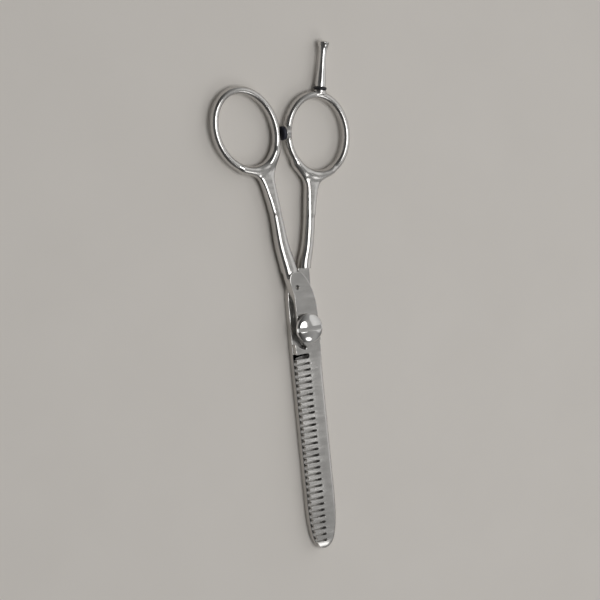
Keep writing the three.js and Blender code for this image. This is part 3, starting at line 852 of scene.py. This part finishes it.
def soft_material(name, dark, light, rough, grain_scale, depth):
    """Moulded rubber or plastic with a fine matte grain."""
    nodes = Nodes(name)
    grain = nodes.noise(nodes.place, grain_scale, 6.0, 0.65)
    cloud = nodes.noise(nodes.place, 0.12 * grain_scale, 3.0)
    nodes.feed("Base Color", nodes.ramp(cloud, [(0.35, dark), (0.65, light)]))
    nodes.feed("Roughness", nodes.between(grain, 0.3, 0.7, rough[0], rough[1]))
    nodes.bump(grain, 0.5, depth)
    return nodes.material


# ---- the pieces ----

def add_piece(piece, node, material, body):
    """Gives a piece its material and its body, and lets it stand for a node of the model."""
    piece.name = node + "_shape"
    piece.data.materials.clear()
    piece.data.materials.append(material)
    piece.data.update()
    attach(piece, body)
    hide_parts(node)


STEEL = (0.60, 0.585, 0.565)
BRIGHT_STEEL = (0.70, 0.69, 0.675)
GRID = 0.16
SCREW_GRID = 0.085
POST_GRID = 0.1
HUB_END_Y = -6.8

blade_steel = steel_material("blade_steel", STEEL, (0.13, 0.24), ground=1.0)
pivot_steel = steel_material("pivot_steel", STEEL, (0.2, 0.3), ground=0.0)
polished_steel = turned_steel_material("polished_steel", BRIGHT_STEEL, (0.07, 0.14))
spring_steel = turned_steel_material("spring_steel", (0.46, 0.45, 0.45), (0.24, 0.34))
bearing_bronze = turned_steel_material("bearing_bronze", (0.50, 0.33, 0.16), (0.26, 0.38))
white_nylon = soft_material("white_nylon", (0.70, 0.68, 0.62), (0.78, 0.76, 0.70), (0.4, 0.55),
                            grain_scale=2500.0, depth=0.00002)
bumper_rubber = soft_material("bumper_rubber", (0.010, 0.011, 0.022), (0.018, 0.020, 0.036), (0.42, 0.6),
                              grain_scale=3500.0, depth=0.00003)
washer_rubber = soft_material("washer_rubber", (0.011, 0.011, 0.014), (0.02, 0.02, 0.025), (0.45, 0.62),
                              grain_scale=3500.0, depth=0.00003)


def on_blade(middle):
    """Whether an edge is past the hub, on the lofted part of a blade."""
    return middle[:, 1] < FIRST_GAP[1] - 0.35


comb = surface_mesh("comb", comb_forging, low=(-29.0, -9.2, -0.3), high=(6.2, 82.5, 5.4), step=GRID)
comb = combined(comb, comb_blade_loft(), "UNION")
edges_sharper_than(comb, CREASE, on_blade)
shade_from_field(comb, comb_forging, above_y=HUB_END_Y)
add_piece(comb, "comb_blade", blade_steel, "comb_half")

cutting = surface_mesh("cutting", cutting_forging, low=(-6.2, -9.2, -0.4), high=(26.0, 76.6, 5.4),
                       step=GRID)
cutting = combined(cutting, cutting_blade_loft(), "UNION")
cutting = combined(cutting, first_gap_pocket(), "DIFFERENCE")
edges_sharper_than(cutting, CREASE, on_blade)
shade_from_field(cutting, cutting_forging, above_y=HUB_END_Y)
add_piece(cutting, "cutting_blade", blade_steel, "cutting_half")

screw = surface_mesh("screw", screw_field, low=(-5.1, -5.1, 1.2), high=(5.1, 5.1, 8.3), step=SCREW_GRID)
add_piece(screw, "tension_screw", polished_steel, "screw")

post = surface_mesh("post", post_field, low=(-4.03, -4.04, -0.33), high=(4.0, 4.0, 6.0), step=POST_GRID)
add_piece(post, "pivot_post", pivot_steel, "cutting_half")

click = turned_part("click", click_washer_profile())
add_piece(click, "click_washer", spring_steel, "cutting_half")

thrust = turned_part("thrust", tube_profile(**THRUST_WASHER))
add_piece(thrust, "thrust_washer", bearing_bronze, "cutting_half")

bush = turned_part("bush", tube_profile(**BUSH))
add_piece(bush, "bearing_bush", bearing_bronze, "comb_half")

slip = turned_part("slip", tube_profile(**SLIP_WASHER))
add_piece(slip, "slip_washer", white_nylon, "cutting_half")

stud = stand_on_bumper_axis(turned_part("stud", stud_profile()))
add_piece(stud, "bumper_stud", pivot_steel, "cutting_half")

bumper = stand_on_bumper_axis(turned_part("bumper", bumper_profile()))
add_piece(bumper, "ring_bumper", bumper_rubber, "cutting_half")

rest = stand_on_rest_axis(turned_part("rest", rest_profile()))
add_piece(rest, "finger_rest", polished_steel, "cutting_half")

rest_washer = stand_on_rest_axis(turned_part("rest_washer", tube_profile(**REST_WASHER), SOFT_CREASE))
add_piece(rest_washer, "finger_rest_washer", washer_rubber, "cutting_half")


# ---- the studio ----

def make_floor():
    """A plain pale floor just under the rest face."""
    size = 3.0
    gap = 0.02 * MM
    mesh = bpy.data.meshes.new("floor")
    corners = [(-size, -size, 0.0), (size, -size, 0.0), (size, size, 0.0), (-size, size, 0.0)]
    mesh.from_pydata(corners, [], [[0, 1, 2, 3]])
    floor = bpy.data.objects.new("floor", mesh)
    floor.location.z = -gap
    bpy.context.scene.collection.objects.link(floor)
    nodes = Nodes("floor_paint")
    cloud = nodes.noise(nodes.place, 30.0, 3.0)
    nodes.feed("Base Color", nodes.ramp(cloud, [(0.3, (0.79, 0.75, 0.70)), (0.7, (0.81, 0.77, 0.72))]))
    nodes.feed("Roughness", 0.85)
    mesh.materials.append(nodes.material)


def soft_light(name, direction, size, power, target):
    """A round area light that faces the target from a direction, a metre away."""
    light = bpy.data.lights.new(name, "AREA")
    light.shape = "DISK"
    light.size = size
    light.energy = power
    lamp = bpy.data.objects.new(name, light)
    away = Vector(direction).normalized()
    lamp.location = target + away
    lamp.rotation_euler = away.to_track_quat("Z", "Y").to_euler()
    bpy.context.scene.collection.objects.link(lamp)


def make_world():
    """A grey room that is brighter to the right, for the steel to reflect."""
    world = bpy.data.worlds.new("studio")
    world.use_nodes = True
    tree = world.node_tree
    background = tree.nodes["Background"]
    place = tree.nodes.new("ShaderNodeTexCoord").outputs["Generated"]
    split = tree.nodes.new("ShaderNodeSeparateXYZ")
    tree.links.new(place, split.inputs[0])
    spread = tree.nodes.new("ShaderNodeMapRange")
    spread.inputs["From Min"].default_value = -1.0
    tree.links.new(split.outputs["X"], spread.inputs["Value"])
    ramp = tree.nodes.new("ShaderNodeValToRGB")
    tree.links.new(spread.outputs["Result"], ramp.inputs["Fac"])
    stops = ramp.color_ramp.elements
    stops[0].color = (0.14, 0.14, 0.14, 1.0)
    stops[1].color = (0.2, 0.2, 0.2, 1.0)
    for position, level in ((0.22, 0.05), (0.46, 0.12), (0.72, 0.33), (0.82, 0.40), (0.92, 0.26)):
        stops.new(position).color = (level, level, 0.99 * level, 1.0)
    tree.links.new(ramp.outputs["Color"], background.inputs["Color"])
    background.inputs["Strength"].default_value = 1.0
    bpy.context.scene.world = world


def make_camera(target):
    """Looks down on the shears from the side of the thumb ring, with the rings at the top."""
    lens = bpy.data.cameras.new("camera")
    lens.lens = 200.0
    lens.clip_start = 0.05
    camera = bpy.data.objects.new("camera", lens)
    away = Vector((-0.4999, 0.130, 0.856)).normalized()
    up = Vector((0.1510, 0.9864, -0.0616))
    up = (up - away * up.dot(away)).normalized()
    right = up.cross(away)
    view_height = 0.192
    distance = view_height * lens.lens / lens.sensor_width
    turn = Matrix((right, up, away)).transposed().to_4x4()
    camera.matrix_world = Matrix.Translation(target + away * distance) @ turn
    bpy.context.scene.collection.objects.link(camera)
    bpy.context.scene.camera = camera


centre = 0.5 * (Vector(cad_bounds[0]) + Vector(cad_bounds[1]))
make_floor()
make_world()
make_camera(centre)
soft_light("top_light", (0.03, 0.02, 1.0), size=0.56, power=3.1, target=centre)
soft_light("side_light", (0.90, 0.22, 0.50), size=1.2, power=1.6, target=centre)
soft_light("front_light", (0.30, -0.62, 0.72), size=0.36, power=0.6, target=centre)
bpy.context.scene.view_settings.view_transform = "Standard"

bpy.context.view_layer.update()
